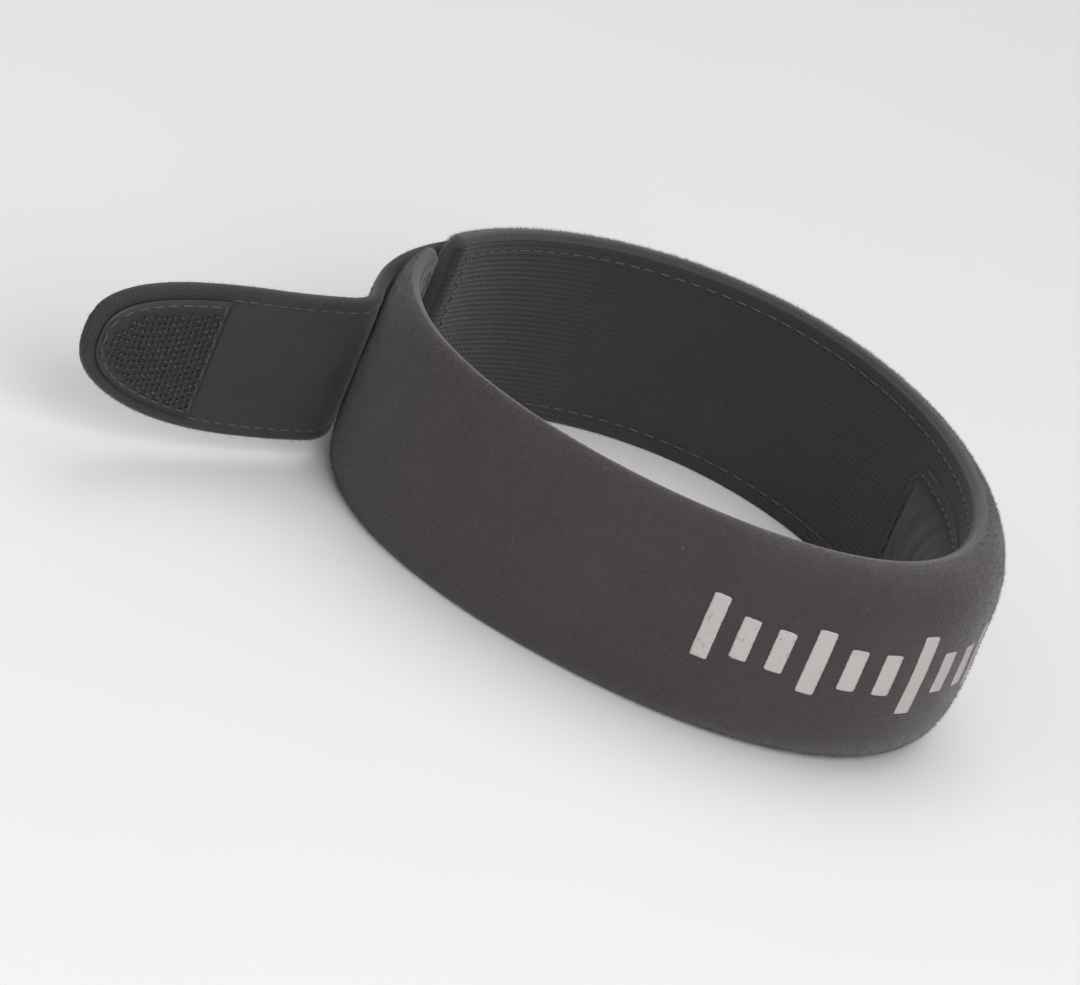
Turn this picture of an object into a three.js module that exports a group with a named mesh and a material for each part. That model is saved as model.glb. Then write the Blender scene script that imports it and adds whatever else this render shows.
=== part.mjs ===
// Patella strap: a padded loop worn just below the kneecap, with a tube over the patellar tendon
// and a hook-and-loop tab whose free end is pulled out, ready to be pressed down.
// Millimetres, +Z up. The loop lies on its lower edge, the tendon side is -Y.
import * as THREE from 'three';

// Leg opening
const LEG_WIDTH = 101;
const LEG_DEPTH = 110;
const FRONT_NARROWING = 0.15; // share by which the front is narrower than the middle of the leg

// Padded band
const BAND_WIDTH = 38;
const BAND_THICKNESS = 5.1;
const BAND_EDGE = 2.2; // thickness of the sewn edges
const PAD_THICKNESS = 11.1; // outer face to leg, at the tendon
const PAD_REACH = 43; // distance round the leg over which the pad fades
const WALL_OVER_TUBE = 4.3;
const CORNER = 1.6; // rounding of the inner face's edges
const CLOSURE_SHARE = 0.569; // where the two ends meet, as a share of the girth from the tendon
const END_SPACE = 8; // open space between the two ends
const END_ROUNDING = 1.5;

// Tube over the tendon, inside the band
const TUBE_LENGTH = 130;
const TUBE_WIDTH = 17;
const TUBE_PROUD = 3.6; // how far it stands out of the lining, into the leg opening
const TUBE_TAPER = 24; // length over which each end flattens

// Closure tab
const TAB_WIDTH = 29;
const TAB_THICKNESS = 2.4;
const TAB_SEWN = 15; // length sewn to one end of the band
const TAB_OVERLAP = 17; // length that lies over the other end
const TAB_BEND_RADIUS = 12;
const TAB_SWING = 52; // degrees by which the free end turns away from the leg
const TAB_FREE = 56; // straight, pulled out
const TAB_RISE = 6; // how much higher the pulled tip is held
const TAB_TIP_LENGTH = 38; // length over which the tongue narrows
const TAB_TIP_WIDTH = 6; // blunt end of the tongue

// Hook patch on the leg side of the tab's free end
const PATCH_LENGTH = 26;
const PATCH_WIDTH = 24;
const PATCH_THICKNESS = 1.1;

const CLEARANCE = 0.3; // between pieces that touch
const STEP = 5; // distance between two sections of a bent piece

const MIDDLE = BAND_WIDTH / 2;

// The line round the leg, seen from above: an egg, drawn from the tendon towards +X
class LegLine extends THREE.Curve {
  getPoint(share, target = new THREE.Vector3()) {
    const turn = 2 * Math.PI * share;
    const narrowing = 1 - FRONT_NARROWING * Math.cos(turn);
    return target.set(
      (LEG_WIDTH / 2) * Math.sin(turn) * narrowing,
      -(LEG_DEPTH / 2) * Math.cos(turn),
      0,
    );
  }

  getTangent(share, target = new THREE.Vector3()) {
    const turn = 2 * Math.PI * share;
    const narrowing = 1 - FRONT_NARROWING * Math.cos(turn);
    const across = Math.cos(turn) * narrowing + FRONT_NARROWING * Math.sin(turn) ** 2;
    return target.set((LEG_WIDTH / 2) * across, (LEG_DEPTH / 2) * Math.sin(turn), 0).normalize();
  }
}

const legLine = new LegLine();
legLine.arcLengthDivisions = 720;
const girth = legLine.getLength();

// A place on the line: along is the distance from the tendon, positive towards +X
function placeOnLeg(along) {
  const share = THREE.MathUtils.euclideanModulo(along / girth, 1);
  const tangent = legLine.getTangentAt(share);
  return {
    point: legLine.getPointAt(share),
    tangent,
    out: new THREE.Vector3(tangent.y, -tangent.x, 0),
  };
}

// The same distance counted the short way round from the tendon
function fromTendon(along) {
  const turned = THREE.MathUtils.euclideanModulo(along, girth);
  return Math.min(turned, girth - turned);
}

// Evenly spaced values from start to end, no further apart than STEP
function spaced(start, end) {
  const count = Math.ceil((end - start) / STEP);
  return Array.from({ length: count + 1 }, (_, i) => start + ((end - start) * i) / count);
}

// A closed mesh through sections. Each section has a place and a contour of [outwards, height]
// pairs that runs counter-clockwise, outwards being to the right.
function loft(sections) {
  const corners = sections[0].contour.length;
  const positions = [];
  const triangles = [];
  for (const { place, contour } of sections) {
    for (const [outwards, height] of contour) {
      const corner = place.point.clone().addScaledVector(place.out, outwards);
      positions.push(corner.x, corner.y, corner.z + height);
    }
  }
  for (let i = 0; i + 1 < sections.length; i += 1) {
    for (let j = 0; j < corners; j += 1) {
      const next = (j + 1) % corners;
      const here = i * corners;
      const there = here + corners;
      triangles.push(here + j, there + j, there + next);
      triangles.push(here + j, there + next, here + next);
    }
  }
  const last = (sections.length - 1) * corners;
  const flat = (section) => section.contour.map(([outwards, height]) => new THREE.Vector2(outwards, height));
  for (const [a, b, c] of THREE.ShapeUtils.triangulateShape(flat(sections[0]), [])) {
    triangles.push(a, b, c);
  }
  for (const [a, b, c] of THREE.ShapeUtils.triangulateShape(flat(sections.at(-1)), [])) {
    triangles.push(last + a, last + c, last + b);
  }
  const geometry = new THREE.BufferGeometry();
  geometry.setAttribute('position', new THREE.Float32BufferAttribute(positions, 3));
  geometry.setIndex(triangles);
  geometry.computeVertexNormals();
  return geometry;
}

// The pad's strength at a distance from the tendon: 1 at the tendon, fading to the sides
function padding(along) {
  return Math.exp(-((fromTendon(along) / PAD_REACH) ** 2));
}

// How far the band's outer face stands off the leg at the middle of its width
function bandCrown(along) {
  return BAND_THICKNESS + (PAD_THICKNESS - BAND_THICKNESS) * padding(along);
}

// The tube's outermost and innermost reach off the leg line, and how much is left of it near an end
function tubeAt(along) {
  const toEnd = TUBE_LENGTH / 2 - fromTendon(along);
  if (toEnd < 0) {
    return { outer: 0, inner: 0 };
  }
  const rise = Math.min(1, toEnd / TUBE_TAPER);
  const left = Math.sqrt(1 - (1 - rise) ** 2);
  return {
    outer: left * (bandCrown(along) - WALL_OVER_TUBE - CLEARANCE),
    inner: -left * TUBE_PROUD,
  };
}

const CHANNEL_CORNERS = 6; // sides of the tube's outer half
const TUBE_MINIMUM = 0.35; // half the thickness that is left at a tube end
const tubeEnd = TUBE_LENGTH / 2 - CLEARANCE;

// Outer face of the band: height as a share of the width, fullness as a share of the crown
const OUTER_FACE = [
  { height: 0, fullness: 0 },
  { height: 0.03, fullness: 0.47 },
  { height: 0.08, fullness: 0.71 },
  { height: 0.16, fullness: 0.89 },
  { height: 0.29, fullness: 0.98 },
  { height: 0.5, fullness: 1 },
];

function bandContour(along) {
  const rise = OUTER_FACE.map(({ height, fullness }) => [
    BAND_EDGE + (bandCrown(along) - BAND_EDGE) * fullness,
    height * BAND_WIDTH,
  ]);
  const fall = rise
    .slice(0, -1)
    .reverse()
    .map(([outwards, height]) => [outwards, BAND_WIDTH - height]);
  const tube = tubeAt(along);
  const centre = (tube.outer + tube.inner) / 2;
  const halfThickness = (tube.outer - tube.inner) / 2 + CLEARANCE;
  const halfWidth = TUBE_WIDTH / 2 + CLEARANCE;
  const channel = [];
  for (let k = 0; k <= CHANNEL_CORNERS; k += 1) {
    const turn = (Math.PI * k) / CHANNEL_CORNERS;
    const outwards = tube.outer > 0 ? Math.max(0, centre + halfThickness * Math.sin(turn)) : 0;
    channel.push([outwards, MIDDLE + halfWidth * Math.cos(turn)]);
  }
  return [
    ...rise,
    ...fall,
    [BAND_EDGE / 4, BAND_WIDTH],
    [0, BAND_WIDTH - CORNER],
    [0, MIDDLE + halfWidth + CORNER],
    ...channel,
    [0, MIDDLE - halfWidth - CORNER],
    [0, CORNER],
    [BAND_EDGE / 4, 0],
  ];
}

// The same contour, thinned for the band's rounded ends
function thinned(contour, share) {
  return contour.map(([outwards, height]) => [
    BAND_THICKNESS / 2 + (outwards - BAND_THICKNESS / 2) * share,
    height,
  ]);
}

const closure = CLOSURE_SHARE * girth;
const bandEnd = closure - END_SPACE / 2;
const bandStart = closure + END_SPACE / 2 - girth;

function bandGeometry() {
  const END_SHARE = 0.62;
  const beside = TUBE_LENGTH / 2 + CLEARANCE;
  const sections = [
    ...spaced(bandStart + END_ROUNDING, -beside),
    ...spaced(-tubeEnd, tubeEnd),
    ...spaced(beside, bandEnd - END_ROUNDING),
  ].map((along) => ({
    place: placeOnLeg(along),
    contour: bandContour(along),
  }));
  const cap = (along) => ({
    place: placeOnLeg(along),
    contour: thinned(bandContour(along), END_SHARE),
  });
  return loft([cap(bandStart), ...sections, cap(bandEnd)]);
}

// The tube: round outside in the band's channel, round inside against the tendon
function tubeContour(along) {
  const tube = tubeAt(along);
  const centre = (tube.outer + tube.inner) / 2;
  const halfThickness = Math.max(TUBE_MINIMUM, (tube.outer - tube.inner) / 2);
  const contour = [];
  for (let k = 0; k < 2 * CHANNEL_CORNERS; k += 1) {
    const turn = (Math.PI * k) / CHANNEL_CORNERS - Math.PI / 2;
    contour.push([
      centre + halfThickness * Math.cos(turn),
      MIDDLE + (TUBE_WIDTH / 2) * Math.sin(turn),
    ]);
  }
  return contour;
}

function tubeGeometry() {
  return loft(spaced(-tubeEnd, tubeEnd).map((along) => ({
    place: placeOnLeg(along),
    contour: tubeContour(along),
  })));
}

// The tab's line: sewn to one end of the band, over the open space and the other end, then bent
// away from the leg and straight, rising to the tip. along is the distance from the tendon.
const tabStart = bandEnd - TAB_SEWN;
const overlapStart = closure + END_SPACE / 2;
const bendStart = overlapStart + TAB_OVERLAP;
const swing = THREE.MathUtils.degToRad(TAB_SWING);
const bendEnd = bendStart + swing * TAB_BEND_RADIUS;
const tabEnd = bendEnd + TAB_FREE;

function placeOnTab(along) {
  const onLeg = Math.min(along, bendStart);
  const { point, tangent, out } = placeOnLeg(onLeg);
  const turn = THREE.MathUtils.clamp((along - bendStart) / TAB_BEND_RADIUS, 0, swing);
  const straight = Math.max(0, along - bendEnd);
  const ahead = tangent.clone().multiplyScalar(Math.cos(turn)).addScaledVector(out, Math.sin(turn));
  const aside = out.clone().multiplyScalar(Math.cos(turn)).addScaledVector(tangent, -Math.sin(turn));
  point.addScaledVector(out, bandCrown(onLeg) + CLEARANCE);
  point.addScaledVector(tangent, TAB_BEND_RADIUS * Math.sin(turn));
  point.addScaledVector(out, TAB_BEND_RADIUS * (1 - Math.cos(turn)));
  point.addScaledVector(ahead, straight);
  point.z = TAB_RISE * (straight / TAB_FREE) ** 2;
  return { point, tangent: ahead, out: aside };
}

// A flat strip's contour, with its edges rounded off
function stripContour(inner, outer, width) {
  const rounding = (outer - inner) / 3;
  const low = MIDDLE - width / 2;
  const high = MIDDLE + width / 2;
  return [
    [outer, low + rounding],
    [outer, high - rounding],
    [outer - rounding, high],
    [inner + rounding, high],
    [inner, high - rounding],
    [inner, low + rounding],
    [inner + rounding, low],
    [outer - rounding, low],
  ];
}

// Width left at a distance from the tip of a tongue, which narrows along half an ellipse
function tipWidth(width, length, fromTip) {
  const inside = Math.max(0, length - fromTip) / length;
  return TAB_TIP_WIDTH + (width - TAB_TIP_WIDTH) * Math.sqrt(1 - inside ** 2);
}

// Where sections stand near a tip, as shares of the length over which it narrows
const TIP_SHARES = [1, 0.7, 0.45, 0.26, 0.12, 0.03, 0];
const BEND_STEPS = 4;

function bendPlaces() {
  return Array.from({ length: BEND_STEPS }, (_, i) => (
    THREE.MathUtils.lerp(bendStart, bendEnd, (i + 1) / BEND_STEPS)
  ));
}

function tipPlaces(end, length) {
  return TIP_SHARES.map((share) => end - share * length);
}

function tabGeometry() {
  const places = [
    ...spaced(tabStart, bandEnd),
    ...spaced(overlapStart, bendStart),
    ...bendPlaces(),
    ...tipPlaces(tabEnd, TAB_TIP_LENGTH),
  ];
  return loft(places.map((along) => ({
    place: placeOnTab(along),
    contour: stripContour(0, TAB_THICKNESS, tipWidth(TAB_WIDTH, TAB_TIP_LENGTH, tabEnd - along)),
  })));
}

function patchGeometry() {
  const margin = (TAB_WIDTH - PATCH_WIDTH) / 2;
  const tip = TAB_TIP_LENGTH - margin;
  const end = tabEnd - margin;
  const start = end - PATCH_LENGTH;
  const places = [start, ...tipPlaces(end, tip).filter((along) => along > start)];
  return loft(places.map((along) => ({
    place: placeOnTab(along),
    contour: stripContour(
      -CLEARANCE - PATCH_THICKNESS,
      -CLEARANCE,
      tipWidth(PATCH_WIDTH, tip, end - along),
    ),
  })));
}

function piece(name, geometry, color, roughness) {
  const material = new THREE.MeshStandardMaterial({ color, roughness, metalness: 0 });
  const mesh = new THREE.Mesh(geometry, material);
  mesh.name = name;
  return mesh;
}

const strap = new THREE.Group();
strap.add(piece('band', bandGeometry(), '#3d3a3b', 0.95));
strap.add(piece('tubular_insert', tubeGeometry(), '#343233', 0.9));
strap.add(piece('closure_tab', tabGeometry(), '#383536', 0.95));
strap.add(piece('hook_patch', patchGeometry(), '#242324', 0.7));

// The origin is at the middle of the whole strap, on the surface that it rests on
const whole = new THREE.Box3().setFromObject(strap);
const middle = whole.getCenter(new THREE.Vector3());
strap.position.set(-middle.x, -middle.y, -whole.min.z);

export default strap;
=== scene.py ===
import functools
import math

import bpy
import numpy as np
from bpy.props import FloatProperty, FloatVectorProperty, IntProperty, PointerProperty
from mathutils import Matrix, Vector, noise


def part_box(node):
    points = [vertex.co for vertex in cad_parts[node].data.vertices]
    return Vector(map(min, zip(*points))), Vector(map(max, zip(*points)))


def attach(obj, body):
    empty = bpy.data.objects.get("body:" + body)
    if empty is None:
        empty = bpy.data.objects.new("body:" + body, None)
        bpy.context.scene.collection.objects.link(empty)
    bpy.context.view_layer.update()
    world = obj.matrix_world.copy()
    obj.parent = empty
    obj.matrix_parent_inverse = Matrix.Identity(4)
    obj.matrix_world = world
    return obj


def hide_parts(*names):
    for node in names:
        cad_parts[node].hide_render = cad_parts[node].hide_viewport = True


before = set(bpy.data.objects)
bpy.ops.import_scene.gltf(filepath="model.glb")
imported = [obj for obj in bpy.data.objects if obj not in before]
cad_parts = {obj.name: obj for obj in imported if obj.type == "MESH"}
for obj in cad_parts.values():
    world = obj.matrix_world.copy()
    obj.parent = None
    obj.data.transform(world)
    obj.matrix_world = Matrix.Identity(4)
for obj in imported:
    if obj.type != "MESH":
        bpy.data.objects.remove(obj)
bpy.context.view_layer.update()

bl_info = {
    "name": "Patella strap",
    "version": (1, 0, 0),
    "blender": (4, 5, 0),
    "location": "View3D > Sidebar > Strap",
    "description": "Dresses a knee strap's solids in pile, lining, hooks, stitches and nap",
    "category": "Object",
}

BODY = "root"


# Sizes, colours and view

def length(name, description, default):
    """A size in metres that the sidebar shows."""
    return FloatProperty(
        name=name, description=description, default=default, min=0.0, precision=5,
        subtype="DISTANCE", unit="LENGTH")


def share(name, description, default):
    """A share from 0 to 1."""
    return FloatProperty(
        name=name, description=description, default=default, min=0.0, max=1.0, subtype="FACTOR")


def number(name, description, default):
    """A number of small pieces."""
    return IntProperty(name=name, description=description, default=default, min=0)


def angle(name, description, degrees):
    """An angle, given here in degrees."""
    return FloatProperty(
        name=name, description=description, default=math.radians(degrees),
        subtype="ANGLE", unit="ROTATION")


def colour(name, description, red, green, blue):
    """A linear colour."""
    return FloatVectorProperty(
        name=name, description=description, default=(red, green, blue), size=3, min=0.0, max=1.0,
        subtype="COLOR")


class StrapSizes(bpy.types.PropertyGroup):
    """The strap's sizes, the same ones as its solids have."""
    leg_width: length("Leg width", "Width of the leg opening", 0.101)
    leg_depth: length("Leg depth", "Front to back of the leg opening", 0.110)
    front_narrowing: share("Front narrowing", "How much narrower the front of the leg is", 0.15)
    band_width: length("Band width", "Height of the band as it lies", 0.038)
    band_thickness: length("Band thickness", "Thickness at the sides", 0.0051)
    band_edge: length("Band edge", "Thickness of the sewn edges", 0.0022)
    pad_thickness: length("Pad thickness", "Outer face to leg at the tendon", 0.0111)
    pad_reach: length("Pad reach", "Distance over which the pad fades", 0.043)
    wall_over_tube: length("Wall over tube", "Padding outside the tube", 0.0043)
    corner: length("Corner", "Rounding of the inner face's edges", 0.0016)
    closure_share: share("Closure", "Where the two ends meet, as a share of the girth", 0.569)
    end_space: length("End space", "Open space between the two ends", 0.008)
    tube_length: length("Tube length", "Length of the insert", 0.130)
    tube_width: length("Tube width", "Width of the insert", 0.017)
    tube_proud: length("Tube proud", "How far the insert stands out of the lining", 0.0036)
    tube_taper: length("Tube taper", "Length over which an end flattens", 0.024)
    tab_width: length("Tab width", "Width of the closure tab", 0.029)
    tab_thickness: length("Tab thickness", "Thickness of the closure tab", 0.0024)
    tab_sewn: length("Tab sewn", "Length sewn to one end of the band", 0.015)
    tab_overlap: length("Tab overlap", "Length over the other end", 0.017)
    tab_bend_radius: length("Tab bend", "Radius of the bend away from the leg", 0.012)
    tab_swing: angle("Tab swing", "Angle by which the free end turns away", 52)
    tab_free: length("Tab free", "Straight free length", 0.056)
    tab_rise: length("Tab rise", "How much higher the pulled tip is held", 0.006)
    tab_tip_length: length("Tab tip length", "Length over which the tongue narrows", 0.038)
    patch_length: length("Patch length", "Length of the hook patch", 0.026)
    patch_width: length("Patch width", "Width of the hook patch", 0.024)
    patch_thickness: length("Patch thickness", "Tape and hooks together", 0.0011)
    clearance: length("Clearance", "Between pieces that touch", 0.0003)


class StrapDetails(bpy.types.PropertyGroup):
    """Sizes of the details that only the dressed strap has."""
    undulation: length("Undulation", "Height of the soft waves in the padding", 0.00028)
    undulation_size: length("Undulation size", "Distance between those waves", 0.016)
    pucker: length("Pucker", "Depth of the edge's puckers between stitches", 0.00014)
    stitch_pitch: length("Stitch pitch", "Distance between two stitches", 0.0031)
    thread: length("Thread", "Thread diameter", 0.00042)
    seam_inset: length("Seam inset", "Seam to edge", 0.0032)
    flange: length("Flange", "Sewn margin of the insert's cover", 0.0030)
    nap_length: length("Nap length", "Longest fibre of the pile", 0.00085)
    nap_width: length("Nap width", "Width of a fibre at its root", 0.00005)
    nap_lean: share("Nap lean", "How far the fibres were stroked along the band", 0.6)
    band_fibres: number("Band fibres", "Fibres on a third of the band", 46000)
    tab_nap_length: length("Tab nap length", "Longest fibre on the tab", 0.00045)
    tab_fibres: number("Tab fibres", "Fibres on the tab's outer face", 15000)
    tab_edge_fibres: number("Edge fibres", "Fibres round the tab", 2600)
    hook_pitch: length("Hook pitch", "Distance between two hooks", 0.00125)
    hook_wire: length("Hook wire", "Thickness of a hook", 0.00028)
    mark_pitch: length("Mark pitch", "Distance between the marks of the scale", 0.0055)
    mark_width: length("Mark width", "Width of one mark", 0.0027)
    mark_height: length("Mark height", "Height of the middle mark", 0.0156)
    mark_middle: length("Mark middle", "Height of the scale's middle above the lower edge", 0.0207)
    print_thickness: length("Print thickness", "Thickness of the printed ink", 0.00012)


class StrapColours(bpy.types.PropertyGroup):
    """Linear colours of the finishes."""
    # The pile's two tones: pile_dark is set low between the fibres and in the knit's gaps, pile_light on
    # the fibres, so their mix is partly painted shade and partly random tone.
    pile_dark: colour("Pile, dark", "Between the fibres", 0.0180, 0.0156, 0.0164)
    pile_light: colour("Pile, light", "On the fibres", 0.0600, 0.0498, 0.0526)
    lining: colour("Lining", "Leg side", 0.026, 0.025, 0.0265)
    cover: colour("Insert cover", "Over the tube", 0.022, 0.0212, 0.0224)
    tab: colour("Tab", "Flat tab", 0.030, 0.0275, 0.028)
    # The tape and its hooks are one nylon: the hooks' lighter tone is a painted highlight, and the tape's
    # darker tone is partly painted shade round them.
    hook: colour("Hook tape", "Nylon tape", 0.013, 0.0123, 0.0128)
    hook_wire: colour("Hooks", "Nylon hooks", 0.036, 0.034, 0.035)
    thread: colour("Thread", "Sewing thread", 0.030, 0.0285, 0.029)
    ink: colour("Ink", "Printed scale", 0.385, 0.362, 0.352)
    floor: colour("Floor", "Studio floor", 0.66, 0.655, 0.645)


class StrapView(bpy.types.PropertyGroup):
    """Where the picture is taken from."""
    azimuth: angle("Azimuth", "Round the strap, 0 looks along +Y", -50)
    elevation: angle("Elevation", "Above the floor", 22.7)
    roll: angle("Roll", "Clockwise turn of the strap in the picture", 23)
    distance: length("Distance", "Camera to strap", 1.1)
    fill: share("Fill", "Share of the picture's width that the strap fills", 0.86)


def sizes():
    """The strap's sizes in this scene."""
    return bpy.context.scene.strap_sizes


def details():
    """The detail sizes in this scene."""
    return bpy.context.scene.strap_details


def colours():
    """The colours in this scene."""
    return bpy.context.scene.strap_colours


# The strap's form

LINE_STEPS = 7200  # steps round the leg's line
CROWN_SQUARENESS = 4  # of the outer face over the band's width, 2 is an ellipse
PUCKER_POWER = 6  # the higher, the nearer the puckers stay to the edges
PADDING_WAVES = (  # times along, times across, seed, share of the height
    (1.0, 1.3, 4.7, 1.0),
    (2.1, 2.6, 9.1, 0.5),
)
TAB_INSET_SHARE = 0.75  # the tab's seam inset as a share of the band's
TAPE_SHARE = 0.45  # part of the hook patch's thickness that is tape, the rest is hooks


class Strap:
    """The strap's form. A place is a distance from the tendon along the band or the tab, a
    distance outwards from the leg, and a height above the floor. All arrays are numpy's."""

    def __init__(self):
        size, fine = self.size, self.fine = sizes(), details()
        self.turns = np.linspace(0.0, 2 * math.pi, LINE_STEPS + 1)
        x, y = self.egg(self.turns)
        self.reach = np.concatenate([[0.0], np.cumsum(np.hypot(np.diff(x), np.diff(y)))])
        self.girth = self.reach[-1]
        low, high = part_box("band")
        self.centre = np.array([(low[0] + high[0]) / 2, low[1] + size.leg_depth / 2 + size.pad_thickness])
        self.middle = size.band_width / 2
        closure = size.closure_share * self.girth
        self.band_end = closure - size.end_space / 2
        self.band_start = closure + size.end_space / 2 - self.girth
        self.tab_start = self.band_end - size.tab_sewn
        self.bend_start = closure + size.end_space / 2 + size.tab_overlap
        self.bend_end = self.bend_start + size.tab_swing * size.tab_bend_radius
        self.tab_end = self.bend_end + size.tab_free
        self.tab_length = self.tab_end - self.tab_start
        self.tab_inset = fine.seam_inset * TAB_INSET_SHARE
        self.patch_edge = (size.tab_width - size.patch_width) / 2
        self.patch_end = self.tab_end - self.patch_edge
        self.patch_start = self.patch_end - size.patch_length
        self.tape_gap = size.clearance / 3
        self.tape = size.patch_thickness * TAPE_SHARE

    def egg(self, turn):
        """The leg's line seen from above, about its own middle."""
        size = self.size
        narrowing = 1 - size.front_narrowing * np.cos(turn)
        return size.leg_width / 2 * np.sin(turn) * narrowing, -size.leg_depth / 2 * np.cos(turn)

    def on_leg(self, along):
        """Points, tangents and outward directions on the leg's line."""
        size = self.size
        turn = np.interp(np.mod(along, self.girth), self.reach, self.turns)
        narrowing = 1 - size.front_narrowing * np.cos(turn)
        across = np.cos(turn) * narrowing + size.front_narrowing * np.sin(turn) ** 2
        tangent = np.stack([size.leg_width / 2 * across, size.leg_depth / 2 * np.sin(turn)], -1)
        tangent /= np.linalg.norm(tangent, axis=-1, keepdims=True)
        out = np.stack([tangent[..., 1], -tangent[..., 0]], -1)
        return np.stack(self.egg(turn), -1) + self.centre, tangent, out

    def on_tab(self, along):
        """The same on the tab's inner face, which bends away from the leg and then runs straight."""
        size = self.size
        on_leg = np.minimum(along, self.bend_start)
        point, tangent, out = self.on_leg(on_leg)
        turn = np.clip((along - self.bend_start) / size.tab_bend_radius, 0, size.tab_swing)[..., None]
        straight = np.maximum(0, along - self.bend_end)[..., None]
        ahead = tangent * np.cos(turn) + out * np.sin(turn)
        aside = out * np.cos(turn) - tangent * np.sin(turn)
        point = point + out * (self.crown(on_leg) + size.clearance)[..., None]
        point = point + size.tab_bend_radius * (tangent * np.sin(turn) + out * (1 - np.cos(turn)))
        return point + ahead * straight, ahead, aside

    def from_tendon(self, along):
        """The distance from the tendon the short way round."""
        turned = np.mod(along, self.girth)
        return np.minimum(turned, self.girth - turned)

    def crown(self, along):
        """How far the middle of the band's outer face stands off the leg."""
        size = self.size
        padding = np.exp(-(self.from_tendon(along) / size.pad_reach) ** 2)
        return size.band_thickness + (size.pad_thickness - size.band_thickness) * padding

    def tube(self, along):
        """The tube's outermost and innermost reach, both 0 past its ends."""
        size = self.size
        rise = np.clip((size.tube_length / 2 - self.from_tendon(along)) / size.tube_taper, 0, 1)
        left = np.sqrt(1 - (1 - rise) ** 2)
        outer = left * (self.crown(along) - size.wall_over_tube - size.clearance)
        return outer, -left * size.tube_proud

    def outer_face(self, along, level):
        """How far the outer face stands off the leg. level is -1 at the lower edge and 1 at the
        upper one."""
        size, fine = self.size, self.fine
        full = np.sqrt(np.clip(1 - np.abs(level) ** CROWN_SQUARENESS, 0, 1))
        waves = self.waves(along, level) * fine.undulation * full
        beat = np.cos(2 * math.pi * along / fine.stitch_pitch)
        pucker = fine.pucker * beat * np.abs(level) ** PUCKER_POWER
        return size.band_edge + (self.crown(along) - size.band_edge) * full + waves + pucker * full

    def waves(self, along, level):
        """Soft random waves in the padding, about -1 to 1."""
        across = level * self.size.band_width / 2
        shape = np.broadcast(along, across).shape
        places = [np.broadcast_to(part, shape).ravel() / self.fine.undulation_size
                  for part in (along, across)]
        heights = [sum(height * noise.noise(Vector((a * run, b * rise, seed)))
                       for run, rise, seed, height in PADDING_WAVES)
                   for a, b in zip(*places)]
        return np.array(heights).reshape(shape)

    def band_point(self, along, level, lift=0.0):
        """Points on the band's outer face, lifted off it."""
        return self.leg_point(along, self.outer_face(along, level) + lift, self.middle * (1 + level))

    def leg_point(self, along, outwards, height):
        """Points given by their distance outwards from the leg's line."""
        point, _, out = self.on_leg(along)
        return self.joined(point + out * np.asarray(outwards)[..., None], height)

    def tab_point(self, along, outwards, height):
        """Points given by their distance outwards from the tab's inner face."""
        point, _, out = self.on_tab(along)
        straight = np.clip((along - self.bend_end) / self.size.tab_free, 0, None)
        rise = self.size.tab_rise * straight ** 2
        return self.joined(point + out * np.asarray(outwards)[..., None], height + rise)

    @staticmethod
    def joined(flat, height):
        """Points or directions in space from flat ones and their heights."""
        return np.concatenate([flat, np.broadcast_to(height, flat.shape[:-1])[..., None]], -1)


# Lines and outlines

TONGUE_BLUNTNESS = 2.6  # of the tab's end, 2 is an ellipse
LOOP_STEP = 0.0006  # between two points of a sewing line
LOOP_TIP_ROWS = 120
LOOP_CORNER_POINTS = 9


def unit(vectors):
    """The same directions with a length of 1."""
    return vectors / np.linalg.norm(vectors, axis=1, keepdims=True)


def reaches(points):
    """The distance of each point from the first one, along their line."""
    return np.concatenate([[0.0], np.cumsum(np.linalg.norm(np.diff(points, axis=0), axis=1))])


def read_off(where, reach, values):
    """Rows of values at some distances along a line."""
    return np.stack([np.interp(where, reach, column) for column in values.T], -1)


def eased(start, end, count):
    """Values that crowd towards both ends."""
    return start + (end - start) * (1 - np.cos(np.linspace(0, math.pi, count))) / 2


def rounding(into, radius, least):
    """The share of its full thickness that an edge has at a distance into its rounding. least is
    the square of the smallest share."""
    return np.sqrt(np.clip(1 - (1 - np.clip(into / radius, 0, 1)) ** 2, least, 1))


def corner_width(width, radius, from_end):
    """The width at a distance from an end whose corners are rounded."""
    inside = np.clip(radius - from_end, 0, radius)
    return width - 2 * (radius - np.sqrt(radius ** 2 - inside ** 2))


def tongue_width(width, inset, from_tip):
    """The tab's width at a distance from its tip, or that of its outline drawn in by an inset."""
    tip = sizes().tab_tip_length - inset
    inside = np.clip(tip - from_tip, 0, tip) / tip
    return width * (1 - inside ** 2) ** (1 / TONGUE_BLUNTNESS)


def tongue_rows(end, inset, rows):
    """Places along a tongue that crowd towards its tip."""
    tip = sizes().tab_tip_length - inset
    return end - tip * (1 - np.sin(np.linspace(0, math.pi / 2, rows)))


def tongue_line(start, end, width, inset):
    """An open line round a tongue, from its lower side over the tip to its upper side."""
    rows = tongue_rows(end, inset, LOOP_TIP_ROWS)
    rows = np.concatenate([np.arange(start, rows[0], LOOP_STEP), rows[rows > start]])
    reach = tongue_width(width, inset, end - rows) / 2
    low = np.stack([rows, -reach], -1)
    return np.concatenate([low, low[-2::-1] * [1, -1]])


def rounded_loop(x0, x1, y0, y1, radius):
    """A closed rectangle with rounded corners, as closely spaced points."""
    corners = ((x1 - radius, y0 + radius, -90), (x1 - radius, y1 - radius, 0),
               (x0 + radius, y1 - radius, 90), (x0 + radius, y0 + radius, 180))
    points = []
    for x, y, first in corners:
        for turn in np.radians(np.linspace(first, first + 90, LOOP_CORNER_POINTS)):
            points.append((x + radius * math.cos(turn), y + radius * math.sin(turn)))
    points = np.array(points + points[:1])
    reach = reaches(points)
    return read_off(np.linspace(0, reach[-1], int(reach[-1] / LOOP_STEP)), reach, points)


# Meshes

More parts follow.
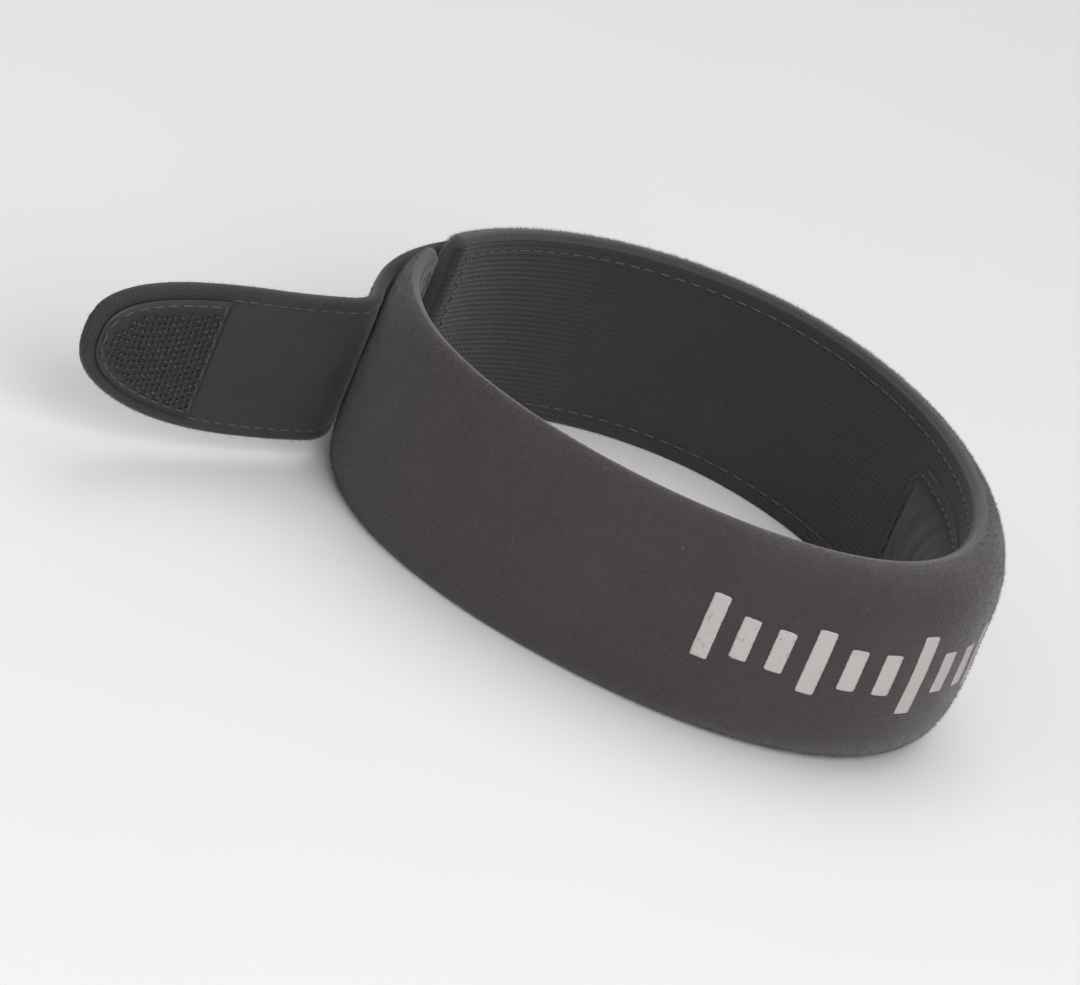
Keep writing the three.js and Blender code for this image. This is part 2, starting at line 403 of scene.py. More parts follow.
def new_object(name, points, faces, materials, slot_of_face=None, uv=None, smooth=True):
    """An object from points and faces, with its finishes and a flat map of the cloth in metres."""
    mesh = bpy.data.meshes.new(name)
    mesh.from_pydata(np.asarray(points, float).reshape(-1, 3).tolist(), [], faces)
    for material in materials:
        mesh.materials.append(material)
    if slot_of_face is not None:
        mesh.polygons.foreach_set("material_index", np.asarray(slot_of_face, np.int32))
    if smooth:
        mesh.polygons.foreach_set("use_smooth", np.ones(len(mesh.polygons), bool))
    if uv is not None:
        layer = mesh.uv_layers.new(name="cloth")
        layer.data.foreach_set("uv", np.asarray(uv, np.float32).ravel())
    mesh.update()
    piece = bpy.data.objects.new(name, mesh)
    bpy.context.scene.collection.objects.link(piece)
    return piece


def tube_faces(rows, corners):
    """Faces of a closed tube of rows of corners, outwards facing, with a face on each end."""
    faces = []
    for i in range(rows - 1):
        here = i * corners
        there = here + corners
        for j in range(corners):
            k = (j + 1) % corners
            faces.append((here + j, there + j, there + k, here + k))
    faces.append(tuple(range(corners)))
    faces.append(tuple(range(rows * corners - 1, (rows - 1) * corners - 1, -1)))
    return faces


def small_tubes(name, rings, material):
    """Many small closed tubes as one object. rings has tubes, rows and corners."""
    count, rows, corners = rings.shape[:3]
    faces = [tuple(k * rows * corners + corner for corner in face)
             for k in range(count) for face in tube_faces(rows, corners)]
    return new_object(name, rings, faces, [material])


def slab_faces(columns, rows):
    """Faces of a closed slab of two layers of corners, the lower layer first."""
    under = np.arange(columns * rows).reshape(columns, rows)
    top = under + columns * rows
    faces = []
    for i in range(columns - 1):
        for j in range(rows - 1):
            faces.append((top[i, j], top[i + 1, j], top[i + 1, j + 1], top[i, j + 1]))
            faces.append((under[i, j], under[i, j + 1], under[i + 1, j + 1], under[i + 1, j]))
    rim = [*under[:, 0], *under[-1, 1:], *under[-2::-1, -1], *under[0, -2:0:-1]]
    for a, b in zip(rim, rim[1:] + rim[:1]):
        faces.append((a, b, b + columns * rows, a + columns * rows))
    return np.array(faces)


def flat_map(across):
    """A map over the width whose faces meet without a jump."""
    return across, np.roll(across, -1, axis=1)


def arc_map(points, middle):
    """A map over the width by the distance round each row, from its middle corner."""
    steps = np.linalg.norm(np.roll(points, -1, axis=1) - points, axis=2)
    reach = np.concatenate([np.zeros((len(points), 1)), np.cumsum(steps, axis=1)], 1)
    reach -= reach[:, [middle]]
    return reach[:, :-1], reach[:, 1:]


def lofted(name, points, along, sides, materials, corner_slot=None):
    """A closed piece through rows of corners. Its map runs along the strap and over its width,
    and sides holds the latter's places at the two sides of each face."""
    rows, corners = points.shape[:2]
    low, high = sides
    uv = []
    for i in range(rows - 1):
        for j in range(corners):
            uv += [(along[i], low[i, j]), (along[i + 1], low[i + 1, j]),
                   (along[i + 1], high[i + 1, j]), (along[i], high[i, j])]
    uv += [(along[0], low[0, j]) for j in range(corners)]
    uv += [(along[-1], low[-1, j]) for j in reversed(range(corners))]
    slots = None
    if corner_slot is not None:
        slots = [*corner_slot] * (rows - 1) + [0, 0]
    return new_object(name, points, tube_faces(rows, corners), materials, slots, uv)


def dress(piece, slot, *nodes):
    """The piece rides on the strap's body and stands for some nodes, which it hides; slot is not used."""
    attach(piece, BODY)
    if nodes:
        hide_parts(*nodes)
    return piece


# Shader groups

def feed(tree, value, target):
    """Gives a socket its value, which is a number, a colour or another socket."""
    if isinstance(value, bpy.types.NodeSocket):
        tree.links.new(value, target)
    elif isinstance(value, tuple):
        target.default_value = (*value, 1.0)
    else:
        target.default_value = value


def node(tree, kind, **values):
    """A node with its settings, and its sockets' values by name."""
    made = tree.nodes.new(kind)
    for key, value in values.items():
        if hasattr(made, key):
            setattr(made, key, value)
        else:
            feed(tree, value, made.inputs[key.replace("_", " ").title()])
    return made


def maths(tree, operation, *values):
    """A maths node's output. Its inputs are sockets or numbers."""
    made = node(tree, "ShaderNodeMath", operation=operation)
    for value, target in zip(values, made.inputs):
        feed(tree, value, target)
    return made.outputs[0]


def object_place(tree):
    """The place on the object, in metres."""
    return tree.nodes.new("ShaderNodeTexCoord").outputs["Object"]


def cloth_place(tree):
    """The place on the flat cloth, along the strap and across it, in metres."""
    parts = tree.nodes.new("ShaderNodeSeparateXYZ")
    feed(tree, node(tree, "ShaderNodeUVMap", uv_map="cloth").outputs["UV"], parts.inputs[0])
    return parts.outputs["X"], parts.outputs["Y"]


def noise_value(tree, vector, scale, detail, roughness):
    """A noise texture's value."""
    made = node(tree, "ShaderNodeTexNoise", vector=vector, scale=scale, detail=detail,
                roughness=roughness)
    return made.outputs["Fac"]


def sine(tree, value, factor):
    """The sine of a value times a factor."""
    return maths(tree, "SINE", maths(tree, "MULTIPLY", value, factor))


def new_group(name, inputs, outputs):
    """An empty shader group of numbers, and the sockets to read from and to feed inside it."""
    group = bpy.data.node_groups.new(name, "ShaderNodeTree")
    for label, default in inputs.items():
        socket = group.interface.new_socket(label, in_out="INPUT", socket_type="NodeSocketFloat")
        socket.default_value = default
    for label in outputs:
        group.interface.new_socket(label, in_out="OUTPUT", socket_type="NodeSocketFloat")
    return group, group.nodes.new("NodeGroupInput").outputs, group.nodes.new("NodeGroupOutput").inputs


@functools.cache
def nap_group():
    """Brushed pile: fine fibres in clumps, and broad patches where it was stroked another way.
    Tint rises with the same fibres and clumps as Height, so what it colours is darker in its low
    places, painted shade; on the pile the patches stand for its sheen changing with the stroke,
    painted sheen.
    """
    group, given, result = new_group(
        "Brushed nap", {"Fibre Scale": 2600.0, "Clump Scale": 620.0, "Patch Scale": 70.0},
        ("Tint", "Height"))
    place = object_place(group)
    fibres = noise_value(group, place, given["Fibre Scale"], detail=3.0, roughness=0.7)
    clumps = noise_value(group, place, given["Clump Scale"], detail=3.0, roughness=0.6)
    patches = noise_value(group, place, given["Patch Scale"], detail=2.0, roughness=0.5)
    clumped = maths(group, "MULTIPLY", clumps, 0.35)
    feed(group, maths(group, "MULTIPLY_ADD", fibres, 0.55, clumped), result["Height"])
    # Tint follows the same fibres and clumps as Height: painted shade in the low places wherever it sets
    # a colour.
    tint = maths(group, "MULTIPLY_ADD", fibres, 0.45, clumped)
    feed(group, maths(group, "MULTIPLY_ADD", patches, 0.35, tint), result["Tint"])
    return group


@functools.cache
def weave_group():
    """Threads over and under one another along and across the strap."""
    group, given, result = new_group(
        "Plain weave", {"Pitch Along": 0.0009, "Pitch Across": 0.0007}, ("Height", "Gap"))
    along, across = cloth_place(group)
    along = maths(group, "DIVIDE", along, given["Pitch Along"])
    across = maths(group, "DIVIDE", across, given["Pitch Across"])
    over = maths(group, "MULTIPLY", sine(group, along, 2 * math.pi), sine(group, across, 2 * math.pi))
    ridge_along = maths(group, "ABSOLUTE", sine(group, along, math.pi))
    ridge_across = maths(group, "ABSOLUTE", sine(group, across, math.pi))
    ridges = maths(group, "MULTIPLY", ridge_along, ridge_across)
    crossing = maths(group, "MULTIPLY_ADD", over, 0.2, 0.2)
    feed(group, maths(group, "MULTIPLY_ADD", ridges, 0.6, crossing), result["Height"])
    # Where Gap colours a cloth it darkens the gaps between threads: painted shade.
    feed(group, maths(group, "SUBTRACT", 1.0, ridges), result["Gap"])
    return group


@functools.cache
def knit_group():
    """Jersey knit: wales of small V-shaped loops, which run along the strap."""
    group, given, result = new_group(
        "Jersey knit", {"Wale Pitch": 0.0009, "Course Pitch": 0.0007}, ("Height", "Gap"))
    along, across = cloth_place(group)
    wale = maths(group, "FRACT", maths(group, "DIVIDE", across, given["Wale Pitch"]))
    side = maths(group, "ABSOLUTE", maths(group, "MULTIPLY_ADD", wale, 2.0, -1.0))
    course = maths(group, "DIVIDE", along, given["Course Pitch"])
    slanted = maths(group, "MULTIPLY_ADD", side, 0.9, course)
    loops = maths(group, "POWER", maths(group, "ABSOLUTE", sine(group, slanted, math.pi)), 0.7)
    legs = maths(group, "POWER", sine(group, side, math.pi), 0.6)
    height = maths(group, "MULTIPLY", loops, legs)
    feed(group, height, result["Height"])
    # Where Gap colours a cloth it darkens the gaps between the loops: painted shade.
    feed(group, maths(group, "SUBTRACT", 1.0, height), result["Gap"])
    return group


@functools.cache
def lint_group():
    """Sparse specks of lint and dust, as a mask."""
    group, given, result = new_group("Lint", {"Scale": 160.0, "Size": 0.07}, ("Mask",))
    specks = node(group, "ShaderNodeTexVoronoi", feature="F1", vector=object_place(group),
                  scale=given["Scale"])
    near = maths(group, "LESS_THAN", specks.outputs["Distance"], given["Size"])
    parts = group.nodes.new("ShaderNodeSeparateColor")
    feed(group, specks.outputs["Color"], parts.inputs[0])
    rare = maths(group, "GREATER_THAN", parts.outputs[0], 0.6)
    feed(group, maths(group, "MULTIPLY", near, rare), result["Mask"])
    return group


def placed(tree, builder, **values):
    """The outputs of a shader group placed in a material with its values."""
    made = tree.nodes.new("ShaderNodeGroup")
    made.node_tree = builder()
    for key, value in values.items():
        made.inputs[key.replace("_", " ").title()].default_value = value
    return made.outputs


# Finishes

LINT = (0.11, 0.105, 0.10)
INK_WORN = (0.10, 0.095, 0.095, 1.0)  # where the pile shows through the print
INK_EDGE = (0.385, 0.475)  # worn through below the first tint, whole above the second


def finish(name, roughness, sheen=0.0, sheen_roughness=0.5, specular=0.5):
    """A material with its plain Principled shader."""
    material = bpy.data.materials.new(name)
    material.use_nodes = True
    shader = material.node_tree.nodes["Principled BSDF"]
    shader.inputs["Roughness"].default_value = roughness
    shader.inputs["Sheen Weight"].default_value = sheen
    shader.inputs["Sheen Roughness"].default_value = sheen_roughness
    shader.inputs["Specular IOR Level"].default_value = specular
    return material, material.node_tree, shader


def toned(tone, factor=1.0):
    """A colour, lighter or darker by a factor."""
    return tuple(factor * part for part in tone)


def mixed(tree, factor, low, high):
    """A colour between two, which are colours or sockets."""
    mix = node(tree, "ShaderNodeMix", data_type="RGBA")
    for value, target in zip((low, high), [socket for socket in mix.inputs if socket.type == "RGBA"]):
        feed(tree, value, target)
    feed(tree, factor, mix.inputs["Factor"])
    return next(socket for socket in mix.outputs if socket.type == "RGBA")


def bumped(tree, shader, height, distance, strength):
    """Bump on the shader's normal, with its depth in metres."""
    bump = node(tree, "ShaderNodeBump", distance=distance, strength=strength)
    feed(tree, height, bump.inputs["Height"])
    feed(tree, bump.outputs["Normal"], shader.inputs["Normal"])


@functools.cache
def pile_finish():
    """The outer face: a knit brushed to a loop pile, with its loops still faintly showing in bump and in
    painted shade in their gaps.
    """
    hue = colours()
    material, tree, shader = finish("brushed_pile", 0.95, sheen=0.30, sheen_roughness=0.45, specular=0.25)
    nap = placed(tree, nap_group)
    knit = placed(tree, knit_group, wale_pitch=0.00125, course_pitch=0.00105)
    # Darker in the knit's gaps and with the nap's tint: painted shade in the gaps and low places, painted
    # sheen in the nap's patches, random tone besides.
    gap_shade_and_tint = maths(tree, "MULTIPLY_ADD", knit["Gap"], -0.16, nap["Tint"])
    base = mixed(tree, maths(tree, "ADD", gap_shade_and_tint, 0.07), toned(hue.pile_dark), toned(hue.pile_light))
    lint = placed(tree, lint_group, scale=150.0, size=0.032)
    feed(tree, mixed(tree, lint["Mask"], base, LINT), shader.inputs["Base Color"])
    height = maths(tree, "MULTIPLY_ADD", knit["Height"], 0.25, nap["Height"])
    bumped(tree, shader, height, distance=0.00024, strength=0.85)
    return material


def cloth_finish(name, tone, roughness, depth, threads, **pitches):
    """A flat cloth: threads in the strap's directions with painted shade in their gaps, a little fuzz and
    a little lint.
    """
    material, tree, shader = finish(name, roughness, sheen=0.22, sheen_roughness=0.4, specular=0.3)
    weave = placed(tree, threads, **pitches)
    nap = placed(tree, nap_group, fibre_scale=3200.0, clump_scale=480.0, patch_scale=90.0)
    # Darker in the gaps between threads and with the nap's tint: painted shade in the gaps and low
    # places, random tone from the nap's patches.
    gap_shade_and_tint = maths(tree, "MULTIPLY_ADD", weave["Gap"], -0.45, nap["Tint"])
    base = mixed(tree, maths(tree, "ADD", gap_shade_and_tint, 0.1), toned(tone, 0.62), toned(tone, 1.45))
    lint = placed(tree, lint_group, scale=130.0, size=0.034)
    feed(tree, mixed(tree, lint["Mask"], base, LINT), shader.inputs["Base Color"])
    height = maths(tree, "MULTIPLY_ADD", nap["Height"], 0.35, weave["Height"])
    bumped(tree, shader, height, distance=depth, strength=0.8)
    return material


@functools.cache
def lining_finish():
    """The knit on the leg side."""
    return cloth_finish("knit_lining", colours().lining, 0.85, 0.00016,
                        knit_group, wale_pitch=0.00105, course_pitch=0.0009)


@functools.cache
def cover_finish():
    """The finer knit over the tube."""
    return cloth_finish("insert_cover", colours().cover, 0.8, 0.00012,
                        knit_group, wale_pitch=0.0008, course_pitch=0.0007)


@functools.cache
def tab_finish():
    """The tab's woven cloth."""
    return cloth_finish("tab_cloth", colours().tab, 0.88, 0.00009,
                        weave_group, pitch_along=0.00080, pitch_across=0.00072)


def nylon_finish(name, tone, low_roughness):
    """Nylon, a little glossy."""
    material, tree, shader = finish(name, low_roughness)
    nap = placed(tree, nap_group, fibre_scale=1500.0, clump_scale=300.0, patch_scale=60.0)
    feed(tree, mixed(tree, nap["Tint"], toned(tone), toned(tone, 1.8)), shader.inputs["Base Color"])
    feed(tree, maths(tree, "MULTIPLY_ADD", nap["Tint"], 0.25, low_roughness), shader.inputs["Roughness"])
    bumped(tree, shader, nap["Height"], distance=0.00005, strength=0.5)
    return material


def painted_sheen_fibre_finish(name, dark, light):
    """Loose fibres of a pile, given lighter tones than the cloth under them: painted sheen for the light
    they catch.
    """
    material, tree, shader = finish(name, 0.9, sheen=0.4, specular=0.25)
    nap = placed(tree, nap_group, fibre_scale=2600.0, clump_scale=420.0, patch_scale=70.0)
    feed(tree, mixed(tree, nap["Tint"], dark, light), shader.inputs["Base Color"])
    return material


@functools.cache
def thread_finish():
    """Twisted polyester thread."""
    tone = colours().thread
    material, tree, shader = finish("sewing_thread", 0.6, sheen=0.15, specular=0.45)
    nap = placed(tree, nap_group, fibre_scale=5200.0, clump_scale=1400.0, patch_scale=200.0)
    feed(tree, mixed(tree, nap["Tint"], toned(tone), toned(tone, 1.7)), shader.inputs["Base Color"])
    bumped(tree, shader, nap["Height"], distance=0.00008, strength=0.7)
    return material


def ink_finish():
    """Off-white print on pile, with the dark pile showing through in small specks."""
    material, tree, shader = finish("printed_ink", 0.7, specular=0.3)
    nap = placed(tree, nap_group, fibre_scale=1900.0, clump_scale=900.0, patch_scale=120.0)
    worn = node(tree, "ShaderNodeValToRGB")
    for stop, place, tone in zip(worn.color_ramp.elements, INK_EDGE, (INK_WORN, (*colours().ink, 1.0))):
        stop.position = place
        stop.color = tone
    feed(tree, nap["Tint"], worn.inputs["Fac"])
    feed(tree, worn.outputs["Color"], shader.inputs["Base Color"])
    bumped(tree, shader, nap["Height"], distance=0.0002, strength=0.7)
    return material


def floor_finish():
    """The studio's pale floor, with a hardly visible mottle."""
    tone = colours().floor
    material, tree, shader = finish("studio_floor", 0.85, specular=0.2)
    mottle = noise_value(tree, object_place(tree), 9.0, detail=3.0, roughness=0.5)
    feed(tree, mixed(tree, mottle, toned(tone, 0.97), toned(tone)), shader.inputs["Base Color"])
    return material


# Band

BAND_ROWS = 430
OUTER_CORNERS = 33
RIM_CORNERS = 7
SIDE_CORNERS = 5
CHANNEL_CORNERS = 13
RIM_SEAM_DEPTH = 0.00035
RIM_SEAM_TURN = 0.9  # the seam's place round the rim, in radians
RIM_SEAM_SPREAD = 0.16
RIM_SEAM_OUT = 0.3  # the seam's depth outwards, as a share of its depth downwards
LOWER_RIM = 0.35  # the lower rim's rounding, as a share of the upper one's
END_ROWS = 7
END_ROUNDING = 0.0022
END_LEAST = 0.06
END_THICKNESS = 0.25  # part of the band's thickness that isn't rounded off at its ends
END_DROP = 0.6  # how far an end's upper half drops, in roundings
RIPPLE = 0.00022
RIPPLE_SIZE = 0.0065
RIPPLE_SEED = 2.3
RIPPLE_REACH = 0.045  # distance from the tendon over which the ripples fade
RIPPLE_LEAST = 0.35


def lining_ripple(strap, along, height):
    """How far the lining's cross ripples stand outwards. They are deepest at the front, where the
    band bends hardest, and end at its edges."""
    bent = np.exp(-(strap.from_tendon(along) / RIPPLE_REACH) ** 2)
    wave = [noise.noise(Vector((a / RIPPLE_SIZE, RIPPLE_SEED, 0.0))) for a in along.ravel()]
    inside = np.sin(math.pi * np.clip(height / strap.size.band_width, 0, 1)) ** 0.5
    return RIPPLE * np.reshape(wave, along.shape) * (RIPPLE_LEAST + bent) * inside


def band_rows(strap, along):
    """Outwards and heights of the band's section at each place, counter-clockwise from below."""
    size = strap.size
    width, corner = size.band_width, size.corner
    level = np.sin(np.linspace(-math.pi / 2, math.pi / 2, OUTER_CORNERS))
    turn = np.linspace(0, math.pi / 2, RIM_CORNERS + 1)[1:]
    notch = np.exp(-((turn - RIM_SEAM_TURN) / RIM_SEAM_SPREAD) ** 2) * RIM_SEAM_DEPTH
    rim_out = size.band_edge * (1 - np.sin(turn)) + notch * RIM_SEAM_OUT
    rim_drop = corner * (1 - np.cos(turn)) + notch
    half = size.tube_width / 2 + size.clearance
    side = np.linspace(width - corner, strap.middle + half + corner, SIDE_CORNERS)[1:]
    arc = np.linspace(0, math.pi, CHANNEL_CORNERS)
    tube_outer, tube_inner = (face[:, None] for face in strap.tube(along))
    deep = (tube_outer - tube_inner) / 2 + size.clearance
    channel = np.maximum(0, (tube_outer + tube_inner) / 2 + deep * np.sin(arc))
    sections = (  # outwards and heights of each stretch
        (strap.outer_face(along[:, None], level[None]), strap.middle * (1 + level)),
        (rim_out, width - rim_drop),
        (0 * side, side),
        (np.where(tube_outer > 0, channel, 0), strap.middle + half * np.cos(arc)),
        (0 * side, width - side[::-1]),
        (rim_out[::-1], (rim_drop * LOWER_RIM)[::-1]),
    )
    outwards, heights = (
        np.concatenate([np.broadcast_to(part, (len(along), part.shape[-1])) for part in parts], 1)
        for parts in zip(*sections))
    lining = slice(OUTER_CORNERS + RIM_CORNERS, outwards.shape[1] - RIM_CORNERS)
    outwards[:, lining] += lining_ripple(strap, along[:, None], heights[:, lining])
    return outwards, heights


def build_band(strap):
    """The padded band: pile outside, lining inside, sewn at its rims."""
    start, end = strap.band_start, strap.band_end
    curve = END_ROUNDING * (1 - np.cos(np.linspace(0, math.pi / 2, END_ROWS)))[:-1]
    between = np.linspace(start + END_ROUNDING, end - END_ROUNDING, BAND_ROWS)
    along = np.concatenate([start + curve, between, end - curve[::-1]])
    outwards, heights = band_rows(strap, along)
    full = rounding(np.minimum(along - start, end - along), END_ROUNDING, END_LEAST)[:, None]
    thick = strap.size.band_thickness / 2
    outwards = thick + (outwards - thick) * (END_THICKNESS + (1 - END_THICKNESS) * full)
    lowered = heights - END_ROUNDING * END_DROP * (1 - full)
    heights = np.where(heights > strap.middle, lowered, heights)
    points = strap.leg_point(along[:, None], outwards, heights)
    corner = np.arange(outwards.shape[1])
    first_lined = OUTER_CORNERS + RIM_CORNERS // 2
    last_lined = len(corner) - RIM_CORNERS // 2 - 2
    lined = (corner >= first_lined) & (corner <= last_lined)
    sides = [np.where(lined, by_height, by_arc) for by_height, by_arc in
             zip(flat_map(heights), arc_map(points, OUTER_CORNERS // 2))]
    piece = lofted("padded_band", points, along, sides, [pile_finish(), lining_finish()], lined)
    return dress(piece, "band_fabric", "band")


# Insert

COVER_ROWS = 220
COVER_CORNERS = 29
COVER_THICKNESS = 0.00045
COVER_LIFT = 0.00008
COVER_CORNER = 1.5  # rounding of the margin's corners, in margins
COVER_SQUARENESS = 2.2  # of the tube's section, and its fullness
COVER_FULLNESS = 0.62
WRINKLE = 0.0004
WRINKLE_LENGTH = 0.0042  # along the strap
WRINKLE_WIDTH = 0.013  # across it
WRINKLE_SEED = 7.7


def build_insert(strap):
    """The soft tube under its cover, with a flat sewn margin all round."""
    size, fine = strap.size, strap.fine
    end = size.tube_length / 2 + fine.flange
    along = eased(-end, end, COVER_ROWS)
    half = size.tube_width / 2 + fine.flange
    reach = corner_width(2 * half, fine.flange * COVER_CORNER, end - np.abs(along)) / 2
    spread = np.sin(np.linspace(-math.pi / 2, math.pi / 2, COVER_CORNERS))
    height = strap.middle + reach[:, None] * spread
    level = np.clip(np.abs(height - strap.middle) / (size.tube_width / 2), 0, 1)
    tube_outer, tube_inner = (face[:, None] for face in strap.tube(along))
    past = (np.abs(along) > size.tube_length / 2)[:, None]
    swell = np.clip(1 - level ** COVER_SQUARENESS, 0, 1) ** COVER_FULLNESS
    wrinkle = np.array([
        [noise.noise(Vector((a / WRINKLE_LENGTH, h / WRINKLE_WIDTH, WRINKLE_SEED))) for h in row]
        for a, row in zip(along, height)])
    inner = -COVER_LIFT - COVER_THICKNESS + (tube_inner + WRINKLE * wrinkle) * np.where(past, 0, swell)
    filled = np.where(past, 0, np.sqrt(np.clip(1 - level ** 2, 0, 1)))
    outer = np.maximum(-COVER_LIFT, tube_outer * filled - COVER_LIFT)
    outwards = np.concatenate([outer, inner[:, ::-1]], 1)
    heights = np.concatenate([height, height[:, ::-1]], 1)
    points = strap.leg_point(along[:, None], outwards, heights)
    sides = arc_map(points, COVER_CORNERS + COVER_CORNERS // 2)
    piece = lofted("insert_cover", points, along, sides, [cover_finish()])
    return dress(piece, "insert_cover", "tubular_insert")


# Closure tab

TAB_ROWS = 150
TAB_TIP_ROWS = 70
TAB_END_ROWS = 5
FACE_CORNERS = 23
FACE_SHARE = 0.97  # part of a face's width that its corners span
EDGE_CORNERS = 7
EDGE_ROUNDING = 0.0011
EDGE_LEAST = 0.05
EDGE_GROOVE = 0.10  # between the two cloths, as a share of the rounding
EDGE_GROOVE_SPREAD = 0.22
TIP_LEAST = 0.0003  # half the width of the last row
TAB_WAVE = 0.00012
TAB_WARP = 0.0009
TAB_WARP_SHARE = 1.1  # half turns of the sideways wander
SEAM_DIP = 0.00016
SEAM_DIP_SPREAD = 0.0006


def tab_warp(strap, along):
    """A slow sideways wander of the free end, as soft cloth has."""
    free = np.clip((along - strap.bend_end) / strap.size.tab_free, 0, 1)
    return TAB_WARP * np.sin(free * math.pi * TAB_WARP_SHARE) * free


def tab_flat_reach(strap, along):
    """Half the width of the tab's flat part, inside its rounded edge."""
    from_tip = np.maximum(0, strap.tab_end - EDGE_ROUNDING - along)
    return tongue_width(strap.size.tab_width - 2 * EDGE_ROUNDING, EDGE_ROUNDING, from_tip) / 2


def seam_dip(strap, height, reach):
    """How deep the tab's cloth is drawn in along the seam near its edge."""
    return SEAM_DIP * np.exp(-((height - (reach - strap.tab_inset)) / SEAM_DIP_SPREAD) ** 2)


def build_tab(strap):
    """The flat closure tab, two cloths sewn together, with a rounded tip."""
    size = strap.size
    curve = EDGE_ROUNDING * (1 - np.cos(np.linspace(0, math.pi / 2, TAB_END_ROWS)))[:-1]
    along = np.concatenate([
        strap.tab_start + curve,
        np.linspace(strap.tab_start + EDGE_ROUNDING, strap.tab_end - size.tab_tip_length, TAB_ROWS),
        tongue_rows(strap.tab_end, 0.0, TAB_TIP_ROWS)[1:],
    ])
    reach = tongue_width(size.tab_width, 0.0, strap.tab_end - along) / 2
    reach = np.maximum(reach, TIP_LEAST)[:, None]
    soft = reach - np.minimum(tab_flat_reach(strap, along)[:, None], reach)
    from_end = np.minimum(along - strap.tab_start, strap.tab_end - along)
    thick = (size.tab_thickness / 2 * rounding(from_end, EDGE_ROUNDING, EDGE_LEAST))[:, None]
    level = np.sin(np.linspace(-math.pi / 2, math.pi / 2, FACE_CORNERS)) * FACE_SHARE
    turn = np.linspace(-math.pi / 2, math.pi / 2, EDGE_CORNERS + 2)[1:-1]
    groove = 1 - EDGE_GROOVE * np.exp(-(turn / EDGE_GROOVE_SPREAD) ** 2)
    outwards = np.concatenate([thick * (1 + 0 * level), thick * -np.sin(turn)], 1)
    heights = np.concatenate([(reach - soft) * level, reach - soft + soft * np.cos(turn) * groove], 1)
    outwards = np.concatenate([outwards, -outwards], 1)
    heights = np.concatenate([heights, -heights], 1)
    wave = strap.waves(along[:, None], heights / strap.middle) * TAB_WAVE
    dip = seam_dip(strap, np.abs(heights), reach)
    outwards = outwards + np.sign(outwards) * (wave - dip) + tab_warp(strap, along)[:, None]
    points = strap.tab_point(along[:, None], outwards + size.tab_thickness / 2, strap.middle + heights)
    piece = lofted("closure_tab_cloth", points, along, flat_map(heights + outwards), [tab_finish()])
    return dress(piece, "tab_fabric", "closure_tab")


# Hook patch

TAPE_ROWS = 90
TAPE_CORNERS = 9
TAPE_LEAST = 0.0004  # half the width of the last row
HOOK_MARGIN = 0.0016  # patch's edge to its first hooks
HOOK_SEED = 21
HOOK_TURN = 0.5  # radians by which a hook may turn aside
HOOK_BEND = 0.9  # share of its height where the wire turns over
HOOK_ROWS = (  # the hook's wire from root to point: sideways and upwards, as shares of its height
    (0.00, 0.00),
    (0.00, 0.55),
    (0.10, 0.88),
    (0.42, 1.00),
    (0.66, 0.80),
)
WIRE_CORNERS = ((-1, -1), (-1, 1), (1, 1), (1, -1))


def build_hook_tape(strap):
    """The thin nylon tape on the tab's leg side."""
    size, edge, end = strap.size, strap.patch_edge, strap.patch_end
    rows = tongue_rows(end, edge, TAPE_ROWS)
    along = np.concatenate([[strap.patch_start], rows[rows > strap.patch_start]])
    reach = np.maximum(tongue_width(size.patch_width, edge, end - along) / 2, TAPE_LEAST)[:, None]
    level = np.linspace(-1, 1, TAPE_CORNERS)
    low = -strap.tape_gap + 0 * level + tab_warp(strap, along)[:, None]
    outwards = np.concatenate([low, low - strap.tape], 1)
    heights = np.concatenate([reach * level, reach * level[::-1]], 1)
    points = strap.tab_point(along[:, None], outwards, strap.middle + heights)
    # The tape's dark tone is partly painted shade round the hooks.
    tape = nylon_finish("hook_nylon", colours().hook, 0.42)
    piece = lofted("hook_tape", points, along, flat_map(heights + outwards), [tape])
    return dress(piece, "hook_tape", "hook_patch")


def hook_spots(strap):
    """Places in rows over the patch, as along and height, that stand clear of its edge."""
    size, pitch = strap.size, strap.fine.hook_pitch
    end = strap.patch_end - HOOK_MARGIN
    spots = []
    for i, along in enumerate(np.arange(strap.patch_start + HOOK_MARGIN, end, pitch)):
        width = tongue_width(size.patch_width, strap.patch_edge, end - along) / 2 - HOOK_MARGIN
        if width <= 0:
            continue
        rows = np.arange(-width, width + 1e-9, pitch)
        spots += [(along, strap.middle + height + (i % 2) * pitch / 2) for height in rows[:-1]]
    return np.array(spots)


def build_hooks(strap):
    """The field of bent hooks on the tape."""
    spots = hook_spots(strap)
    along, height = spots.T
    count = len(spots)
    rng = np.random.default_rng(HOOK_SEED)
    tall = strap.size.patch_thickness - strap.tape
    _, ahead, aside = strap.on_tab(along)
    root = strap.tab_point(along, tab_warp(strap, along) - strap.tape_gap - strap.tape, height)
    down = -strap.joined(aside, 0.0)
    turn = rng.uniform(-HOOK_TURN, HOOK_TURN, count) + np.where(rng.random(count) > 0.5, 0, math.pi)
    run = np.concatenate([ahead * np.cos(turn)[:, None], np.sin(turn)[:, None]], 1)
    across = np.cross(down, run)
    half = strap.fine.hook_wire / 2
    rings = []
    for sideways, upwards in HOOK_ROWS:
        middle = root + run * (sideways * tall) + down * (upwards * tall)
        lean = run if upwards < HOOK_BEND else down
        rings.append(np.stack([middle + half * (a * lean + b * across) for a, b in WIRE_CORNERS], 1))
    # The hooks' tone, lighter than the tape's: painted highlight.
    wire = nylon_finish("hook_wire", colours().hook_wire, 0.22)
    return dress(small_tubes("hooks", np.stack(rings, 1), wire), "hook_tape")


# Sewing

